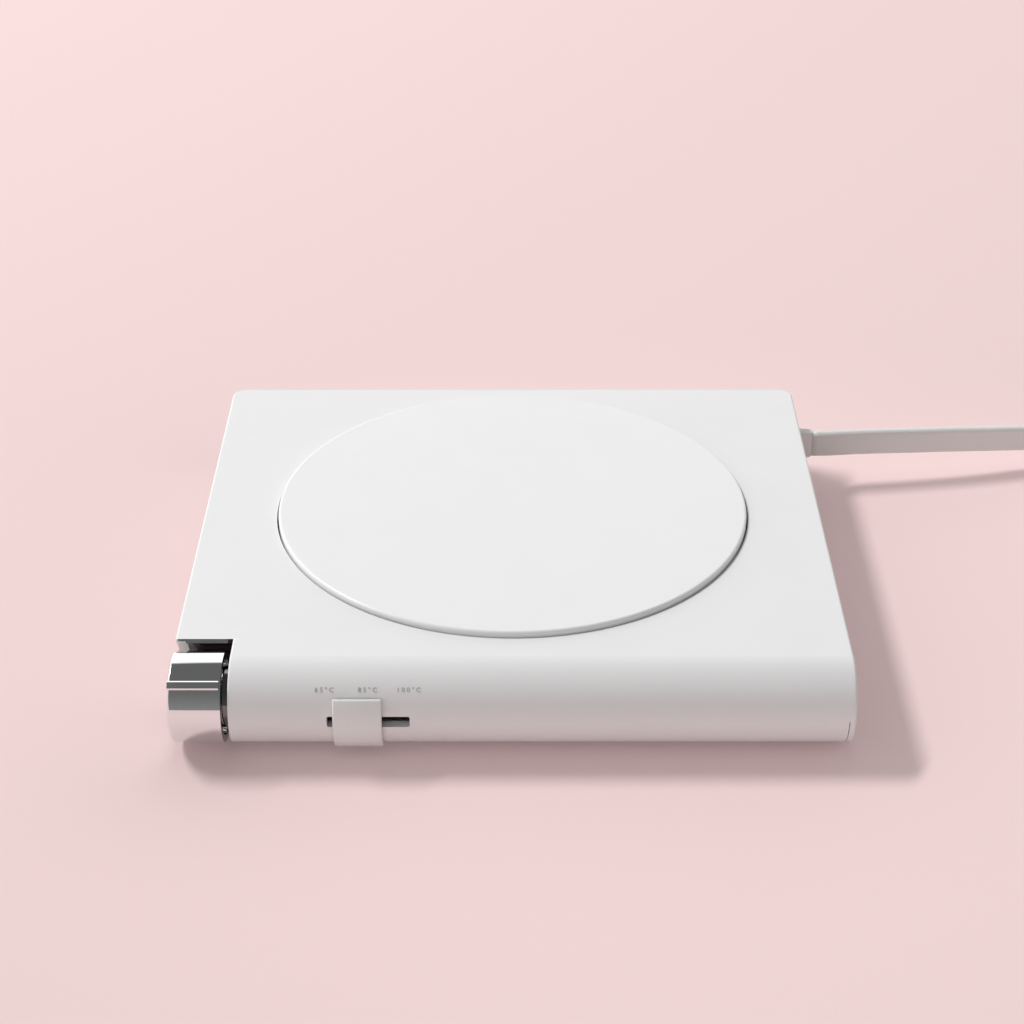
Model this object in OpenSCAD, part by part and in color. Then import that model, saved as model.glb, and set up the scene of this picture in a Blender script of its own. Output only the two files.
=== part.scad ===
// Electric mug warmer: a low square body with a round warming plate, a chromed
// power knob set in its front left corner, a temperature slider that wraps
// round its bullnose front, and a flat mains cord.
// Frame: millimetres, +Z up, -Y is the front. The origin is the middle of the
// footprint, on the surface that the feet stand on.

/* [Body] */
// Width of the body
body_w = 130.6; // [120:0.2:136]
// Depth of the body, bullnose included
body_d = 120; // [120:1:124]
// Thickness of the body; the front edge is a full round of half this
body_h = 18; // [18:0.5:19]
// Wall of the moulded casings
wall = 2; // [1.8:0.1:2.2]
// Radius of the upright corners at the back
corner_r = 3; // [2:0.5:5]
// Rounding of the long edges
edge_r = 0.5; // [0.3:0.1:0.8]

/* [Warming plate] */
// Diameter of the opening in the top
opening_d = 100; // [94:1:100]
// Gap between the plate and its opening, all round
plate_gap = 0.35; // [0.2:0.05:0.5]
// How far the plate stands above the top
plate_rise = 1.2; // [0.6:0.1:1.6]
// How far the plate's middle lies behind the body's middle
plate_y = 5; // [4:0.5:6]

/* [Power knob] */
// Diameter of the chromed roller
knob_d = 17.6; // [17:0.1:17.8]
// Length of the roller
knob_len = 10.2; // [9:0.1:10.5]
// Angle of the pointer rib above the front, at rest
rib_angle = 45; // [30:1:60]

/* [Temperature slider] */
// Length of the slot
slot_len = 15.8; // [14:0.1:16]
// Height of the slot
slot_h = 2.4; // [2.2:0.1:3]
// Middle of the slot, from the middle of the body
slot_x = -27.4; // [-30:0.1:-26]
// Where the tab's middle rests
tab_x = -29.4; // [-32:0.1:-26]
// Width of the tab
tab_w = 9.5; // [8:0.5:10]
// Upper end of the tab, in degrees above the front
tab_top = 30; // [20:1:34]
// Lower end of the tab, in degrees below the front
tab_bottom = 58; // [45:1:60]

/* [Feet] */
// Height of the feet below the casing
foot_h = 1.2; // [1:0.1:2]
// Diameter of a foot
foot_d = 8; // [6:0.5:8]

/* [Cord and plug] */
// Width of the flat cord, which runs on edge
cord_w = 6.2; // [6:0.1:6.4]
// Thickness of the flat cord
cord_t = 2.3; // [2.1:0.1:2.4]
// Distance between neighbouring turns of the coil
coil_pitch = 3; // [3:0.1:3.4]
// Number of turns in the coil; the quarter turn faces the plug forward
coil_turns = 5.25; // [4.25:1:6.25]

/* [Hidden] */
$fn = 96;

// Casing
side_x = body_w / 2;
front_y = -body_d / 2;
back_y = body_d / 2;
bottom_z = foot_h;
top_z = bottom_z + body_h;
nose_r = body_h / 2;
nose_y = front_y + nose_r;
nose_z = bottom_z + nose_r;
ceiling_z = top_z - wall;
floor_z = bottom_z + wall;
seam_wall = 1.2;
cover_x = side_x - seam_wall;
cover_gap = 0.15;

// Knob and its recess
knob_r = knob_d / 2;
knob_y = nose_y - 0.5;
knob_z = nose_z;
knob_out_x = -side_x - 0.2;
knob_in_x = knob_out_x + knob_len;
notch_x = 11.3 - side_x;
notch_y = front_y + 14.9;
skin = 1;
cradle_t = 0.8;
end_wall_x = notch_x + cradle_t;
recess_r = knob_r + 1.8;
rib_w = 1.7;
rib_rise = 0.7;
shaft_r = 2.5;
bush_r = 3.5;
running = 0.05;

// Slider
tab_gap = 0.3;
tab_r = nose_r + 0.9;
stem_w = 2;
stem_h = 1.6;

// Plate stack, from the top down
plate_r = opening_d / 2 - plate_gap;
plate_z = top_z + plate_rise;
plate_t = 2.5;
flange_r = opening_d / 2 + 3;
gasket_t = 0.7;
flange_t = 1;
flange_z = ceiling_z - gasket_t;
heater_t = 0.7;
stack_z = flange_z - flange_t;
press_t = 0.8;
press_z = stack_z - press_t;
pot_r = plate_r - 2.25;
ear_r = flange_r + 4;

// Screws
screw_r = 1.2;
screw_hole_r = 1.25;
screw_x = side_x - 9;
base_screw_xy = [[-screw_x, -32], [screw_x, -32], [-screw_x, 38], [screw_x, 38]];
foot_xy = [[19 - side_x, front_y + 14], [side_x - 19, front_y + 14],
    [11 - side_x, back_y - 10], [side_x - 11, back_y - 10]];
head_seat = 3.2;

// Control board
board_x = [-32, 34];
board_y = [14, 50];
board_z = floor_z + 3;
board_t = 1.6;
board_top = board_z + board_t;
board_screw_xy = [[-28, 18], [30, 18], [-28, 46], [30, 46]];

// Cord exit
cord_y = 50;
cord_z = nose_z;
relief_out_x = 69.5;
relief_in_x = relief_out_x - 20.5;
clamp_x = [side_x - 14, side_x - 8];
clamp_screw_y = [cord_y - 5.5, cord_y + 5.5];

// Coil: its middle, the lift that the tie gives it, and its layers
coil_xy = [170, 25.5];
coil_out_r = 36.5;
coil_in_r = coil_out_r - coil_pitch * coil_turns / 2;
coil_low_z = 1.2 + cord_w / 2;
layer_step = 7;
coil_high_z = coil_low_z + layer_step;
coil_lead = 7;
plug_lead = 14;
loop_rings = 24;
plug_xyz = [coil_xy[0] + coil_out_r, coil_xy[1] - plug_lead, coil_high_z];
tie_angle = 45;

// The free stretch of the cord, from the strain relief to the coil
route = [[69.5, 50, 10.2], [73, 50, 10.2], [77, 50.4, 10.2], [82, 51, 10.1], [88, 51.7, 9.9],
    [94, 52.5, 9.6], [100, 53.4, 9.3], [106, 54.4, 8.9], [112, 55.5, 8.4], [118, 56.7, 7.9],
    [124, 57.9, 7.3], [130, 59.1, 6.7], [136, 60.1, 6], [142, 60.9, 5.3], [148, 61.5, 4.7],
    [154, 61.9, 4.4], [159, 62, 4.3], [163, 62, 4.3]];

// ---- Helpers ----

// Corners of a rectangle from [x0, y0] to [x1, y1], each rounded by its own radius,
// in the order low left, low right, high right, high left
function rounded_box(x0, y0, x1, y1, r, steps = 5) =
    let (c = [[x0 + r[0], y0 + r[0]], [x1 - r[1], y0 + r[1]],
              [x1 - r[2], y1 - r[2]], [x0 + r[3], y1 - r[3]]])
    [for (k = [0:3], s = [0:r[k] > 0 ? steps : 0])
        let (a = 180 + 90 * k + (r[k] > 0 ? 90 * s / steps : 0))
        c[k] + r[k] * [cos(a), sin(a)]];

// Turns a profile about a line along X through the origin, from low to high degrees
// above the front. Profile x is the radius and profile y is the place along X.
module about_x(low, high)
    rotate([0, 90, 0]) rotate([0, 0, 270 - high]) rotate_extrude(angle = high - low) children();

// Stands a profile drawn in Y and Z along X, from x0 to x1
module along_x(x0, x1)
    translate([x0, 0, 0]) rotate([90, 0, 90]) linear_extrude(x1 - x0) children();

// Stands a profile drawn in X and Z along Y, from y0 to y1
module along_y(y0, y1)
    translate([0, y1, 0]) rotate([90, 0, 0]) linear_extrude(y1 - y0) children();

// A box between two opposite corners
module box(low, high)
    translate(low) cube(high - low);

// A round bar along X
module bar_x(x0, x1, r)
    translate([x0, 0, 0]) rotate([0, 90, 0]) cylinder(h = x1 - x0, r = r);

// A pan head screw whose head stands on the origin and whose shank runs along +Z
module screw(head_r, head_h, shank_r, shank_h) {
    difference() {
        rotate_extrude()
            polygon([[0, -head_h], [head_r - 0.5, -head_h], [head_r, 0.4 - head_h], [head_r, 0],
                     [shank_r, 0], [shank_r, shank_h - 0.6], [0.4, shank_h], [0, shank_h]]);
        for (turn = [0, 90])
            rotate([0, 0, turn])
                box([-head_r * 0.6, -0.3, -head_h - 1], [head_r * 0.6, 0.3, -head_h + 0.7]);
    }
}

// Section of the flat cord: half of its width stands up, half of its thickness lies across
cord_edge = 0.6;
cord_section = [[cord_t * 0.24, -cord_w / 2], [cord_t / 2, cord_edge - cord_w / 2],
    [cord_t / 2, cord_w / 2 - cord_edge], [cord_t * 0.24, cord_w / 2],
    [-cord_t * 0.24, cord_w / 2], [-cord_t / 2, cord_w / 2 - cord_edge],
    [-cord_t / 2, cord_edge - cord_w / 2], [-cord_t * 0.24, -cord_w / 2]];

function unit(v) = v / norm(v);
function step_of(p, k) = p[min(k + 1, len(p) - 1)] - p[max(k - 1, 0)];

// Rings of the flat cord at each point of a path, upright and square to its heading
function flat_rings(path) =
    [for (k = [0:len(path) - 1])
        let (d = step_of(path, k), h = unit([d[0], d[1], 0]), across = [h[1], -h[0], 0])
        [for (s = cord_section) path[k] + across * s[0] + [0, 0, s[1]]]];

// Rings of a thin round lead
function round_rings(path, r, sides) =
    [for (k = [0:len(path) - 1])
        let (d = unit(step_of(path, k)),
             side = unit(cross(d, abs(d[2]) > 0.8 ? [1, 0, 0] : [0, 0, 1])),
             up = cross(side, d))
        [for (s = [0:sides - 1])
            path[k] + r * (side * cos(360 * s / sides) + up * sin(360 * s / sides))]];

// One closed surface through rings that all have the same number of points
module skinned(rings) {
    sides = len(rings[0]);
    last = (len(rings) - 1) * sides;
    walls = [for (k = [0:len(rings) - 2], s = [0:sides - 1])
        let (a = k * sides + s, b = k * sides + (s + 1) % sides)
        each [[a, b, a + sides], [b, b + sides, a + sides]]];
    near = [for (s = [1:sides - 2]) [0, s + 1, s]];
    far = [for (s = [1:sides - 2]) [last, last + s, last + s + 1]];
    polyhedron(points = [for (ring = rings) each ring], faces = concat(walls, near, far));
}

module lead(path, r = 0.8)
    skinned(round_rings(path, r, 8));

// ---- Casing ----

// Outside of the closed body: bullnose, slab, back strip and the two back corners
module body_outside() {
    e = edge_r;
    translate([0, nose_y, nose_z])
        about_x(-90, 90)
            polygon(rounded_box(0, -side_x, nose_r, side_x, [0, e, e, 0]));
    along_y(nose_y, back_y - corner_r)
        polygon(rounded_box(-side_x, bottom_z, side_x, top_z, [e, e, e, e]));
    along_x(corner_r - side_x, side_x - corner_r)
        polygon(rounded_box(back_y - corner_r, bottom_z, back_y, top_z, [0, e, e, 0]));
    for (turn = [0, 1])
        mirror([turn, 0, 0])
            translate([side_x - corner_r, back_y - corner_r, 0])
                rotate_extrude(angle = 90)
                    polygon(rounded_box(0, bottom_z, corner_r, top_z, [0, e, e, 0]));
}

// Room inside the walls, closed off round the knob's recess
module body_inside() {
    x0 = wall - side_x;
    x1 = side_x - wall;
    difference() {
        union() {
            box([x0, nose_y, bottom_z - 1], [x1, back_y - wall, ceiling_z]);
            translate([0, nose_y, nose_z])
                about_x(-90, 90) square_from(0, x0, nose_r - wall, x1);
        }
        recess_block();
    }
}

module square_from(x0, y0, x1, y1)
    translate([x0, y0]) square([x1 - x0, y1 - y0]);

// The part of the body that the base cover takes: a floor set inside the edge of the
// shell, and the lower half of the bullnose
module cover_room(gap = 0) {
    x1 = cover_x - gap;
    difference() {
        box([-x1, nose_y, 0], [x1, back_y - seam_wall - gap, floor_z]);
        recess_block();
    }
    box([end_wall_x + wall, front_y - 1, 0], [x1, nose_y, nose_z]);
}

// The knob's recess with the walls that stand round it
module recess_block() {
    x0 = -side_x - 1;
    at_knob() bar_x(x0, end_wall_x + wall, recess_r + cradle_t + wall);
    box([x0, front_y - 1, -1], [end_wall_x + wall, knob_y, top_z]);
}

// The corner that the knob takes: cut square through the top skin, and below it a
// hollow round the knob with room for the cradle behind it
module knob_room() {
    x0 = -side_x - 1;
    box([x0, front_y - 1, 0], [end_wall_x, notch_y, top_z + 1]);
    at_knob() bar_x(x0, wall - side_x, recess_r);
    intersection() {
        at_knob() bar_x(wall - side_x, end_wall_x, recess_r + cradle_t);
        box([x0, front_y - 1, 0], [end_wall_x, 0, top_z - skin]);
    }
}

module slot_cut()
    along_y(front_y - 1, nose_y - 4)
        polygon(rounded_box(slot_x - slot_len / 2, nose_z - slot_h / 2, slot_x + slot_len / 2,
                            nose_z + slot_h / 2, [0.4, 0.4, 0.4, 0.4], 4));

module upper_shell() color("white") {
    difference() {
        union() {
            difference() {
                body_outside();
                body_inside();
                cover_room();
            }
            for (p = base_screw_xy)
                translate([p[0], p[1], floor_z + 1.5])
                    cylinder(h = ceiling_z - floor_z - 1, r = 3.2);
            for (turn = [45:90:315])
                translate([0, plate_y, 0]) rotate([0, 0, turn])
                    translate([ear_r, 0, stack_z])
                        cylinder(h = ceiling_z - stack_z + 0.5, r = 3);
            // pockets that hold the slide switch from above
            for (x = [slot_x - 12.6, slot_x + 12.3])
                box([x - 1, nose_y + 0.5, nose_z + 1], [x + 1, nose_y + 3.6, ceiling_z + 0.5]);
        }
        knob_cut();
        translate([0, plate_y, stack_z - 1]) cylinder(h = 8, d = opening_d, $fn = 180);
        slot_cut();
        for (p = base_screw_xy)
            translate([p[0], p[1], 0]) cylinder(h = 12, r = screw_hole_r, $fn = 32);
        for (turn = [45:90:315])
            translate([0, plate_y, 0]) rotate([0, 0, turn])
                translate([ear_r, 0, stack_z - 1])
                    cylinder(h = 3.6, r = screw_hole_r, $fn = 32);
        translate([0, knob_y, knob_z])
            bar_x(end_wall_x - 1, end_wall_x + wall + 1, bush_r + 0.1);
        box([side_x - wall - 1, cord_y - 1.8, cord_z - 3.8],
            [side_x + 1, cord_y + 1.8, cord_z + 3.8]);
    }
}

// The knob's room, with the skin round the end of the bullnose left standing
module knob_cut() {
    difference() {
        knob_room();
        translate([0, nose_y, nose_z])
            about_x(-90, 90) square_from(nose_r - skin, notch_x, nose_r + 1, end_wall_x + 1);
        box([notch_x, nose_y, top_z - skin], [end_wall_x + 1, notch_y, top_z + 2]);
    }
}

module base_cover() color("white") {
    difference() {
        union() {
            difference() {
                intersection() {
                    body_outside();
                    cover_room(cover_gap);
                }
                translate([0, nose_y, nose_z])
                    about_x(-90, 90) square_from(0, -side_x, nose_r - wall, side_x);
            }
            // lip that slides up behind the front of the shell, clear of the slider
            translate([0, nose_y, nose_z]) {
                about_x(-32, 15)
                    square_from(nose_r - wall - 1, slot_x + 14, nose_r - wall - 0.1, cover_x - 3);
                about_x(-30, -5)
                    square_from(nose_r - wall - 0.6, slot_x + 14.5, nose_r - 1, cover_x - 3.5);
            }
            // block that the slide switch stands on
            box([slot_x - 9, nose_y + 1.5, floor_z - 1], [slot_x + 9, nose_y + 4.5, nose_z - 3]);
            for (p = base_screw_xy)
                translate([p[0], p[1], floor_z - 1]) cylinder(h = 2.5, r = 4.2);
            for (p = board_screw_xy)
                translate([p[0], p[1], floor_z - 1]) cylinder(h = board_z - floor_z + 1, r = 3);
            for (y = clamp_screw_y)
                translate([(clamp_x[0] + clamp_x[1]) / 2, y, floor_z - 1])
                    cylinder(h = 3, r = 2.2);
            // ribs that stiffen the floor
            for (x = [-30, 0, 30])
                box([x - 0.6, -44, floor_z - 1], [x + 0.6, 10, floor_z + 1.2]);
            box([-50, -18.6, floor_z - 1], [50, -17.4, floor_z + 1.2]);
        }
        slot_cut();
        for (p = base_screw_xy) {
            translate([p[0], p[1], 0]) cylinder(h = head_seat, r = 2.7);
            translate([p[0], p[1], 0]) cylinder(h = 12, r = 1.6, $fn = 32);
        }
        for (p = board_screw_xy)
            translate([p[0], p[1], floor_z]) cylinder(h = 8, r = 1.05, $fn = 32);
        for (y = clamp_screw_y)
            translate([(clamp_x[0] + clamp_x[1]) / 2, y, floor_z - 0.8])
                cylinder(h = 8, r = 1.05, $fn = 32);
        for (p = foot_xy)
            translate([p[0], p[1], 0]) cylinder(h = bottom_z + 0.8, d = foot_d + 0.1);
    }
}

module feet() color("gainsboro")
    for (p = foot_xy)
        translate([p[0], p[1], 0])
            rotate_extrude()
                polygon([[0, 0], [foot_d / 2 - 0.4, 0], [foot_d / 2, 0.4],
                         [foot_d / 2, bottom_z + 0.8], [0, bottom_z + 0.8]]);

module base_screws() color("silver")
    for (p = base_screw_xy)
        translate([p[0], p[1], head_seat]) screw(2.5, 1.6, screw_r, 8);

// ---- Warming plate and what heats it ----

module about_plate()
    translate([0, plate_y, 0]) rotate_extrude($fn = 180) children();

module warming_plate() color("whitesmoke")
    about_plate()
        polygon(concat(
            [for (s = [0:5]) [plate_r - 0.6, plate_z - 0.6] + 0.6 * [sin(18 * s), cos(18 * s)]],
            [[plate_r, flange_z], [flange_r, flange_z], [flange_r, stack_z], [pot_r, stack_z],
             [pot_r, plate_z - plate_t], [0, plate_z - plate_t], [0, plate_z]]));

// Flat ring with a thin lip that stands up in the gap round the plate
module plate_gasket() color("dimgray")
    about_plate()
        polygon([[plate_r + 0.1, flange_z], [flange_r, flange_z], [flange_r, ceiling_z],
                 [opening_d / 2 + 0.5, ceiling_z], [opening_d / 2 - 0.02, ceiling_z - 0.05],
                 [plate_r + 0.1, ceiling_z - 0.05]]);

module heater_element() color("peru") {
    low = plate_z - plate_t - heater_t;
    difference() {
        translate([0, plate_y, low]) cylinder(h = heater_t, r = pot_r - 0.3);
        // track of the etched foil, seen from below as rings
        for (r = [12:8:44])
            translate([0, plate_y, low - 1])
                difference() {
                    cylinder(h = 1.2, r = r);
                    translate([0, 0, -1]) cylinder(h = 4, r = r - 2);
                }
    }
}

module insulation_pad() color("beige")
    difference() {
        translate([0, plate_y, stack_z])
            cylinder(h = plate_z - plate_t - heater_t - stack_z, r = pot_r - 0.3);
        translate([0, plate_y, 0]) cylinder(h = 30, r = 3.2);
        translate([12, 34, 0]) cylinder(h = 30, r = 3.2);
    }

module pressure_plate() color("lightsteelblue")
    difference() {
        union() {
            translate([0, plate_y, press_z]) cylinder(h = press_t, r = flange_r);
            for (turn = [45:90:315])
                translate([0, plate_y, press_z]) rotate([0, 0, turn]) {
                    translate([ear_r, 0, 0]) cylinder(h = press_t, r = 3.2);
                    box([flange_r - 3, -3.2, 0], [ear_r, 3.2, press_t]);
                }
            // pressed stiffening bead
            about_plate()
                polygon([[27, press_z + 0.1], [29, press_z - 0.9], [33, press_z - 0.9],
                         [35, press_z + 0.1]]);
        }
        about_plate()
            polygon([[28.2, stack_z + 1], [28.2, stack_z], [29.8, press_z], [32.2, press_z],
                     [33.8, stack_z], [33.8, stack_z + 1]]);
        for (turn = [45:90:315])
            translate([0, plate_y, 0]) rotate([0, 0, turn])
                translate([ear_r, 0, 0]) cylinder(h = 30, r = 1.5, $fn = 32);
        translate([0, plate_y, 0]) cylinder(h = 30, r = 3.2);
        translate([12, 34, 0]) cylinder(h = 30, r = 3.2);
    }

module plate_screws() color("silver")
    for (turn = [45:90:315])
        translate([0, plate_y, 0]) rotate([0, 0, turn])
            translate([ear_r, 0, press_z]) screw(2.3, 1.5, screw_r, 3.2);

module thermistor() color("goldenrod")
    about_plate()
        polygon([[0, press_z - 3], [2.2, press_z - 3], [2.6, press_z - 2.6], [2.6, press_z - 0.8],
                 [4.6, press_z - 0.8], [4.6, press_z], [2.9, press_z],
                 [2.9, plate_z - plate_t - heater_t], [0, plate_z - plate_t - heater_t]]);

fuse_xyz = [20, 5, press_z - 2.65];

module thermal_fuse() color("lightgray")
    translate(fuse_xyz) {
        bar_x(-5, 5, 2);
        bar_x(-9, -5, 0.4);
        bar_x(5, 9, 0.4);
    }

module fuse_clip() color("silver")
    translate(fuse_xyz)
        difference() {
            union() {
                bar_x(-2.5, 2.5, 2.5);
                box([-2.5, -5.5, 2.05], [2.5, 5.5, 2.65]);
            }
            bar_x(-3, 3, 2.02);
            box([-3, -0.8, -3], [3, 0.8, 0]);
        }

// One lead from the heater to the board, one through the fuse, and two from the thermistor
module plate_leads() color("white") {
    lead([[10.6, 34, 16.6], [10.6, 34, 15], [10.6, 33.6, 13], [11, 32.6, 11], [11.2, 32, 9.4],
          [11.2, 32, board_top]]);
    lead([[13.4, 34, 16.6], [13.4, 34, 15], [13.6, 32.4, 12.8], [12.6, 27, 11.7], [9.4, 19, 11.4],
          [6.8, 11, 11.4], [7.2, 6.6, 11.8], [9.4, 5, fuse_xyz[2]], [11, 5, fuse_xyz[2]]]);
    lead([[29, 5, fuse_xyz[2]], [30.4, 5, fuse_xyz[2]], [31.8, 7, 11.5], [31, 11, 10.6],
          [28, 14.6, 10], [25, 17, 9.4], [24, 18.6, 8.8], [24, 18.6, board_top]]);
    for (x = [-1.2, 1.2])
        lead([[x, 5, press_z - 3], [x, 5, 10.9], [x * 1.3, 6.2, 9.6], [x * 1.4, 8.5, 9.1],
              [x * 1.6, 12, 9.1], [x * 1.6, 15.6, 8.9], [x * 1.6, 15.6, board_top]], 0.5);
}

// ---- Control board ----

module control_board() color("seagreen")
    difference() {
        box([board_x[0], board_y[0], board_z], [board_x[1], board_y[1], board_top]);
        for (p = board_screw_xy)
            translate([p[0], p[1], 0]) cylinder(h = 20, r = 1.5, $fn = 32);
    }

module board_screws() color("silver")
    for (p = board_screw_xy)
        translate([p[0], p[1], board_top]) rotate([180, 0, 0]) screw(2, 1.2, 1, 4);

module relay() color("steelblue")
    along_x(-24, -10)
        polygon(rounded_box(30, board_top, 41, board_top + 5.2, [0, 0, 0.6, 0.6], 3));

module capacitor() color("royalblue")
    along_x(-5, 7)
        polygon(rounded_box(37, board_top, 48, board_top + 4.8, [0, 0, 0.8, 0.8], 3));

module controller_chip() color("dimgray") {
    along_x(-22, -12)
        polygon([[20, board_top + 0.3], [24, board_top + 0.3], [24.2, board_top + 1],
                 [24, board_top + 1.7], [20, board_top + 1.7], [19.8, board_top + 1]]);
    for (x = [-21.2:1.27:-12.3])
        box([x, 18.7, board_top], [x + 0.45, 25.3, board_top + 0.9]);
}

module terminal_block() color("mediumseagreen")
    difference() {
        box([22, 34, board_top], [31, 44, board_top + 5.6]);
        for (y = [36.5, 41.5]) {
            translate([0, y, board_top + 2.4]) bar_x(27, 32, 0.95);
            translate([26, y, board_top + 3]) cylinder(h = 4, r = 1.5, $fn = 32);
        }
    }

// ---- Knob, its switch and its recess ----

module at_knob()
    translate([0, knob_y, knob_z]) children();

// Bright liner of the recess: an end plate that the switch is nutted to, and a hollow back
module knob_cradle() color("dimgray")
    difference() {
        intersection() {
            union() {
                at_knob() {
                    bar_x(notch_x, end_wall_x, recess_r + cradle_t);
                    difference() {
                        bar_x(wall - side_x, end_wall_x, recess_r + cradle_t);
                        bar_x(-side_x, end_wall_x + 1, recess_r);
                    }
                }
            }
            union() {
                box([-side_x, nose_y, bottom_z], [end_wall_x, 0, top_z - skin]);
                translate([0, nose_y, nose_z])
                    about_x(-90, 90) square_from(0, notch_x, nose_r - skin, end_wall_x);
            }
        }
        at_knob() bar_x(notch_x - 1, end_wall_x + 1, bush_r + 0.1);
    }

// Moulded drum, open towards its switch: rim, end, hub and the socket for the shaft
module power_knob() color("silver")
    at_knob() {
        difference() {
            union() {
                about_axis()
                    polygon([[0, knob_out_x], [knob_r - 0.5, knob_out_x],
                             [knob_r - 0.15, knob_out_x + 0.15], [knob_r, knob_out_x + 0.5],
                             [knob_r, knob_in_x - 0.3], [knob_r - 0.3, knob_in_x],
                             [knob_r - 1.4, knob_in_x], [knob_r - 1.4, knob_out_x + 1.6],
                             [5.9, knob_out_x + 1.6], [5.9, notch_x - 0.3], [5.4, notch_x - 0.3],
                             [5.4, knob_out_x + 2.6], [4.4, knob_out_x + 2.6],
                             [4.4, notch_x - 2.7], [0, notch_x - 2.7]]);
                rotate([-rib_angle, 0, 0]) translate([0, -knob_r, 0])
                    along_x(knob_out_x - 0.05, knob_in_x - 0.3)
                        polygon([[0.6, -rib_w / 2], [0.25 - rib_rise, -rib_w / 2],
                                 [-rib_rise, 0.25 - rib_w / 2], [-rib_rise, rib_w / 2 - 0.25],
                                 [0.25 - rib_rise, rib_w / 2], [0.6, rib_w / 2]]);
            }
            bar_x(knob_out_x + 3.2, 0, shaft_r);
        }
    }

module about_axis()
    rotate([0, 90, 0]) rotate_extrude() children();

// Shaft with a flat where the knob drives it
module knob_shaft() color("lightgray")
    at_knob() bar_x(knob_out_x + 3.2, end_wall_x + wall + 6, shaft_r);

module rotary_switch() color("dimgray")
    at_knob()
        difference() {
            union() {
                bar_x(end_wall_x + wall, end_wall_x + wall + 9, 6.3);
                bar_x(notch_x - 2.4, end_wall_x + wall + 1, bush_r);
                for (z = [-3, 0, 3])
                    box([end_wall_x + wall + 8, -0.4, z - 0.9], [end_wall_x + wall + 12, 0.4, z + 0.9]);
            }
            bar_x(notch_x - 3, end_wall_x + wall + 6.4, shaft_r + running);
        }

module switch_nut() color("gold")
    at_knob()
        difference() {
            translate([notch_x - 1.8, 0, 0]) rotate([0, 90, 0]) cylinder(h = 1.8, r = 5, $fn = 6);
            bar_x(notch_x - 3, notch_x + 1, bush_r + 0.02);
        }

// ---- Slider and its switch ----

// Shell that wraps round the bullnose, with the stem that passes through the slot
module slider_tab() color("white")
    translate([tab_x, nose_y, nose_z]) {
        about_x(-tab_bottom, tab_top)
            polygon(rounded_box(nose_r + tab_gap, -tab_w / 2, tab_r, tab_w / 2,
                                [0.1, 0.4, 0.4, 0.1], 4));
        box([-stem_w / 2, -nose_r - tab_gap - 0.4, -stem_h / 2], [stem_w / 2, -5.2, stem_h / 2]);
    }

module slider_carriage() color("dimgray")
    translate([tab_x, nose_y, nose_z])
        difference() {
            box([-2.6, -6.2, -2.2], [2.6, -0.6, 2.2]);
            box([-stem_w / 2, -7, -stem_h / 2], [stem_w / 2, -5.2, stem_h / 2]);
            box([-0.8, -3.5, -0.6], [0.8, 0, 0.6]);
        }

module switch_lever() color("silver")
    translate([tab_x, nose_y, nose_z])
        box([-0.8, -3.5, -0.6], [0.8, 1.7, 0.6]);

module slide_switch() color("silver")
    translate([slot_x, nose_y, nose_z])
        difference() {
            union() {
                box([-11.5, 0.5, -3], [11.2, 5.5, 3]);
                for (x = [-8, 0, 8])
                    box([x - 0.9, 5, -2.4], [x + 0.9, 8, -2]);
            }
            box([-slot_len / 2, 0, -1], [slot_len / 2, 2.4, 1]);
        }

// Two leads from the slide switch and two from the rotary switch to the board
module switch_leads() color("firebrick") {
    for (path = [
        [[-35.4, -43, 8], [-35.4, -41, 8], [-35, -36, 6.8], [-33.4, -26, 6.2], [-31.4, -12, 6.2],
         [-29, 0, 6.4], [-26.4, 8, 7.6], [-25, 13, 9], [-24.6, 16, 8.9], [-24.6, 16, board_top]],
        [[-19.4, -43, 8], [-19.4, -41, 8], [-19, -36, 6.8], [-17.4, -26, 6.2], [-15, -12, 6.2],
         [-12.4, 0, 6.4], [-10.4, 8, 7.6], [-9.4, 13, 9], [-9, 16, 8.9], [-9, 16, board_top]],
        [[-41.4, -51.1, 7.2], [-41.4, -49.6, 7.2], [-41.5, -46, 6.4], [-42.4, -42, 6.2],
         [-44, -36, 6.2], [-44.6, -24, 6.4], [-44.4, -8, 6.4], [-42.6, 6, 7], [-38, 16, 8.8],
         [-33, 22, 9.6], [-30, 23.6, 9.2], [-30, 23.6, board_top]],
        [[-41.4, -51.1, 10.2], [-41.4, -49.6, 10.2], [-41.4, -46, 9.6], [-42.4, -42, 8.4],
         [-46, -36, 7.4], [-47, -24, 6.8], [-46.8, -8, 6.6], [-45, 8, 7.2], [-40.4, 18.6, 9],
         [-34, 25.6, 9.8], [-30.2, 27.2, 9.2], [-30.2, 27.2, board_top]]])
        lead(path, 0.6);
}

// ---- Cord ----

// Rubber sleeve that the cord is moulded into, held by the wall and the clamp
module strain_relief() color("white") {
    translate([0, cord_y, cord_z]) {
        along_x(relief_in_x, side_x)
            polygon(rounded_box(-1.7, -3.7, 1.7, 3.7, [1, 1, 1, 1], 4));
        box([60.4, -3, -5], [side_x - wall, 3, 5]);
        hull() {
            along_x(side_x, side_x + 0.1)
                polygon(rounded_box(-1.7, -3.7, 1.7, 3.7, [1, 1, 1, 1], 4));
            along_x(relief_out_x - 0.1, relief_out_x)
                polygon(rounded_box(-1.25, -3.25, 1.25, 3.25, [0.8, 0.8, 0.8, 0.8], 4));
        }
    }
}

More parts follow.
